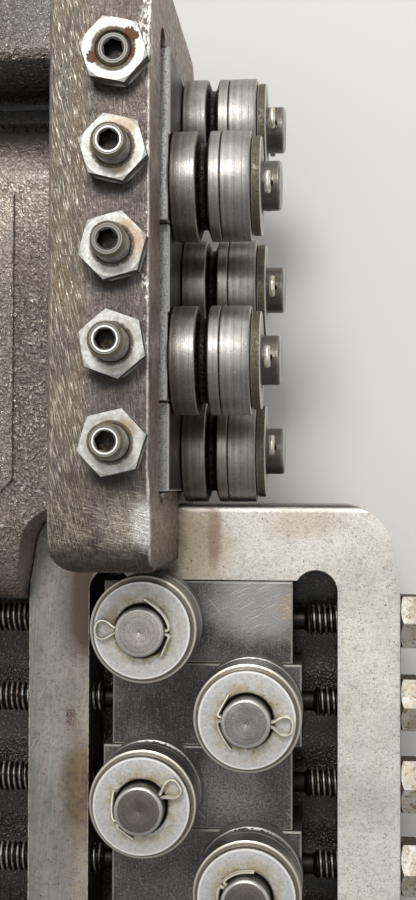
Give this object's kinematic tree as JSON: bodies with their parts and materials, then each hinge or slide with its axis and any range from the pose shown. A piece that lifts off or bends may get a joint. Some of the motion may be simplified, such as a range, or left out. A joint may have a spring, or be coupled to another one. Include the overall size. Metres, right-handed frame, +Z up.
{
  "type": "wire straightener",
  "caption": "Roller wire straightener: windowed frames at right angles on a cast bracket, with grooved rollers on slides set by screws.",
  "frame": {"origin": "middle of the four bolt holes in the bracket's base, on its bottom face", "axes": "+Y along the wire, from the flat unit to the unit on edge; +Z up; +X away from the bracket's upright"},
  "size_m": [0.1645, 0.3387, 0.1519],
  "materials": {
    "bracket_iron": "rough as cast, oily",
    "worn_iron": "worn and filed, oily",
    "ground_iron": "ground",
    "slide_steel": "ground, dull",
    "roller_steel": "turned and hardened",
    "pin_steel": "turned",
    "screw_steel": "black oxide",
    "zinc_nut": "zinc plated"
  },
  "bodies": {
    "frames": {"bracket": "bracket_iron", "upper_frame": "worn_iron", "lower_frame": "ground_iron", "upper_near_jam_nuts": "zinc_nut", "upper_far_jam_nuts": "zinc_nut", "lower_jam_nuts": "zinc_nut"},
    "upper_slide_1": {"upper_slide_1": "slide_steel", "upper_pin_1": "pin_steel", "upper_screws_1": "screw_steel"},
    "upper_roller_1": {"upper_roller_1": "roller_steel"},
    "upper_slide_2": {"upper_slide_2": "slide_steel", "upper_pin_2": "pin_steel", "upper_screws_2": "screw_steel"},
    "upper_roller_2": {"upper_roller_2": "roller_steel"},
    "upper_slide_3": {"upper_slide_3": "slide_steel", "upper_pin_3": "pin_steel", "upper_screws_3": "screw_steel"},
    "upper_roller_3": {"upper_roller_3": "roller_steel"},
    "upper_slide_4": {"upper_slide_4": "slide_steel", "upper_pin_4": "pin_steel", "upper_screws_4": "screw_steel"},
    "upper_roller_4": {"upper_roller_4": "roller_steel"},
    "upper_slide_5": {"upper_slide_5": "slide_steel", "upper_pin_5": "pin_steel", "upper_screws_5": "screw_steel"},
    "upper_roller_5": {"upper_roller_5": "roller_steel"},
    "lower_slide_1": {"lower_slide_1": "slide_steel", "lower_pin_1": "pin_steel", "lower_screws_1": "screw_steel"},
    "lower_roller_1": {"lower_roller_1": "roller_steel"},
    "lower_slide_2": {"lower_slide_2": "slide_steel", "lower_pin_2": "pin_steel", "lower_screws_2": "screw_steel"},
    "lower_roller_2": {"lower_roller_2": "roller_steel"},
    "lower_slide_3": {"lower_slide_3": "slide_steel", "lower_pin_3": "pin_steel", "lower_screws_3": "screw_steel"},
    "lower_roller_3": {"lower_roller_3": "roller_steel"},
    "lower_slide_4": {"lower_slide_4": "slide_steel", "lower_pin_4": "pin_steel", "lower_screws_4": "screw_steel"},
    "lower_roller_4": {"lower_roller_4": "roller_steel"},
    "lower_slide_5": {"lower_slide_5": "slide_steel", "lower_pin_5": "pin_steel", "lower_screws_5": "screw_steel"},
    "lower_roller_5": {"lower_roller_5": "roller_steel"}
  },
  "joints": [
    {"name": "upper_slide_1_set", "type": "slide", "parent": "frames", "child": "upper_slide_1", "axis": [0, 0, -1], "range_m": [-0.002, 0.003]},
    {"name": "upper_roller_1_spin", "type": "hinge", "parent": "upper_slide_1", "child": "upper_roller_1", "pos_m": [0.017, 0.2054, 0.0613], "axis": [1, 0, 0], "continuous": true},
    {"name": "upper_slide_2_set", "type": "slide", "parent": "frames", "child": "upper_slide_2", "axis": [0, 0, 1], "range_m": [-0.002, 0.003]},
    {"name": "upper_roller_2_spin", "type": "hinge", "parent": "upper_slide_2", "child": "upper_roller_2", "pos_m": [0.017, 0.18, 0.0943], "axis": [1, 0, 0], "continuous": true},
    {"name": "upper_slide_3_set", "type": "slide", "parent": "frames", "child": "upper_slide_3", "axis": [0, 0, -1], "range_m": [-0.002, 0.003]},
    {"name": "upper_roller_3_spin", "type": "hinge", "parent": "upper_slide_3", "child": "upper_roller_3", "pos_m": [0.017, 0.1546, 0.0613], "axis": [1, 0, 0], "continuous": true},
    {"name": "upper_slide_4_set", "type": "slide", "parent": "frames", "child": "upper_slide_4", "axis": [0, 0, 1], "range_m": [-0.002, 0.003]},
    {"name": "upper_roller_4_spin", "type": "hinge", "parent": "upper_slide_4", "child": "upper_roller_4", "pos_m": [0.017, 0.1292, 0.0943], "axis": [1, 0, 0], "continuous": true},
    {"name": "upper_slide_5_set", "type": "slide", "parent": "frames", "child": "upper_slide_5", "axis": [0, 0, -1], "range_m": [-0.002, 0.003]},
    {"name": "upper_roller_5_spin", "type": "hinge", "parent": "upper_slide_5", "child": "upper_roller_5", "pos_m": [0.017, 0.1038, 0.0613], "axis": [1, 0, 0], "continuous": true},
    {"name": "lower_slide_1_set", "type": "slide", "parent": "frames", "child": "lower_slide_1", "axis": [-1, 0, 0], "range_m": [-0.002, 0.003]},
    {"name": "lower_roller_1_spin", "type": "hinge", "parent": "lower_slide_1", "child": "lower_roller_1", "pos_m": [-0.0013, 0.0508, 0.0778], "axis": [0, 0, 1], "continuous": true},
    {"name": "lower_slide_2_set", "type": "slide", "parent": "frames", "child": "lower_slide_2", "axis": [1, 0, 0], "range_m": [-0.002, 0.003]},
    {"name": "lower_roller_2_spin", "type": "hinge", "parent": "lower_slide_2", "child": "lower_roller_2", "pos_m": [0.0293, 0.0254, 0.0778], "axis": [0, 0, 1], "continuous": true},
    {"name": "lower_slide_3_set", "type": "slide", "parent": "frames", "child": "lower_slide_3", "axis": [-1, 0, 0], "range_m": [-0.002, 0.003]},
    {"name": "lower_roller_3_spin", "type": "hinge", "parent": "lower_slide_3", "child": "lower_roller_3", "pos_m": [-0.0013, 0, 0.0778], "axis": [0, 0, 1], "continuous": true},
    {"name": "lower_slide_4_set", "type": "slide", "parent": "frames", "child": "lower_slide_4", "axis": [1, 0, 0], "range_m": [-0.002, 0.003]},
    {"name": "lower_roller_4_spin", "type": "hinge", "parent": "lower_slide_4", "child": "lower_roller_4", "pos_m": [0.0293, -0.0254, 0.0778], "axis": [0, 0, 1], "continuous": true},
    {"name": "lower_slide_5_set", "type": "slide", "parent": "frames", "child": "lower_slide_5", "axis": [-1, 0, 0], "range_m": [-0.002, 0.003]},
    {"name": "lower_roller_5_spin", "type": "hinge", "parent": "lower_slide_5", "child": "lower_roller_5", "pos_m": [-0.0013, -0.0508, 0.0778], "axis": [0, 0, 1], "continuous": true}
  ]
}
